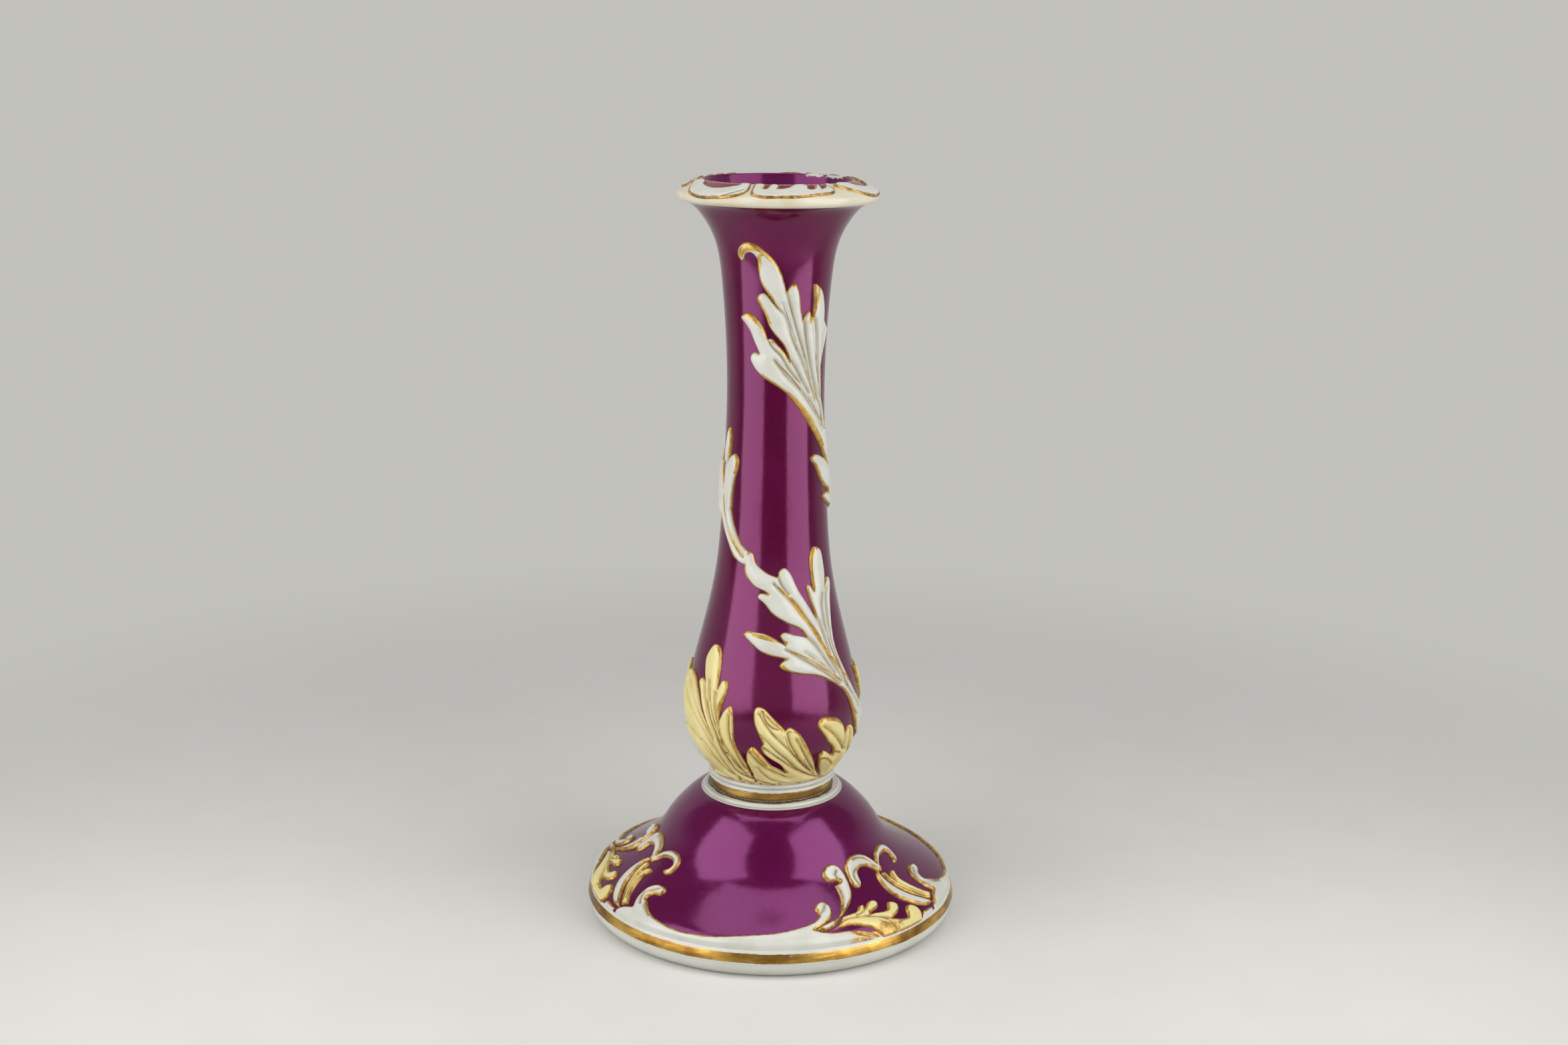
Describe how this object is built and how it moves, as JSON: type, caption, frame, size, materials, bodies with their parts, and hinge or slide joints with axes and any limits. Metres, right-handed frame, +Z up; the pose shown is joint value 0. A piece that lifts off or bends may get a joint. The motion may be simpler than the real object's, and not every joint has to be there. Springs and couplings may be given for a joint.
{
  "type": "candlestick",
  "caption": "Porcelain baluster candlestick with a domed foot, flared rim and raised acanthus and rocaille ornament, hollow inside.",
  "frame": {"origin": "centre of the foot ring, where the candlestick stands", "axes": "+Z up along the axis of the stem, -Y towards the front of the picture, +X to its right"},
  "size_m": [0.1199, 0.12, 0.2365],
  "materials": {
    "magenta_glaze": "glossy dark magenta glaze over porcelain",
    "white_glaze": "glossy white glaze",
    "white_gilt_glaze": "glossy white glaze with worn gilt edges",
    "buff_gilt_glaze": "glossy buff glaze with worn gilt veins",
    "gilding": "worn gold fired over glaze",
    "cement": "dark gritty cement"
  },
  "bodies": {
    "root": {"calyx_leaf_1": "buff_gilt_glaze", "calyx_leaf_2": "buff_gilt_glaze", "calyx_leaf_3": "buff_gilt_glaze", "calyx_leaf_4": "buff_gilt_glaze", "calyx_leaf_5": "buff_gilt_glaze", "calyx_leaf_6": "buff_gilt_glaze", "calyx_leaf_7": "buff_gilt_glaze", "calyx_leaf_8": "buff_gilt_glaze", "candle_nozzle": "magenta_glaze", "cement_joint": "cement", "foot_ball_scroll_1": "white_gilt_glaze", "foot_ball_scroll_2": "white_gilt_glaze", "foot_ball_scroll_3": "white_gilt_glaze", "foot_border_end_1": "white_gilt_glaze", "foot_border_end_2": "white_gilt_glaze", "foot_border_end_3": "white_gilt_glaze", "foot_border_scroll_1": "white_gilt_glaze", "foot_border_scroll_2": "white_gilt_glaze", "foot_border_scroll_3": "white_gilt_glaze", "foot_bud_leaf_1": "buff_gilt_glaze", "foot_bud_leaf_2": "buff_gilt_glaze", "foot_bud_leaf_3": "buff_gilt_glaze", "foot_casting": "magenta_glaze", "foot_collar": "white_glaze", "foot_crest_scroll_1": "white_gilt_glaze", "foot_crest_scroll_2": "white_gilt_glaze", "foot_crest_scroll_3": "white_gilt_glaze", "foot_feather_leaf_1": "buff_gilt_glaze", "foot_feather_leaf_2": "buff_gilt_glaze", "foot_feather_leaf_3": "buff_gilt_glaze", "foot_gilt_band": "gilding", "lower_leaf_back": "white_gilt_glaze", "lower_leaf_front": "white_gilt_glaze", "rim_cartouche_1": "white_gilt_glaze", "rim_cartouche_2": "white_gilt_glaze", "rim_cartouche_3": "white_gilt_glaze", "rim_leaf_scroll_1": "buff_gilt_glaze", "rim_leaf_scroll_2": "buff_gilt_glaze", "rim_leaf_scroll_3": "buff_gilt_glaze", "rim_moulding": "white_glaze", "stem_casting": "magenta_glaze", "stem_gilt_band": "gilding", "stem_ring_moulding": "white_glaze", "upper_leaf_back": "white_gilt_glaze", "upper_leaf_front": "white_gilt_glaze"}
  },
  "joints": []
}
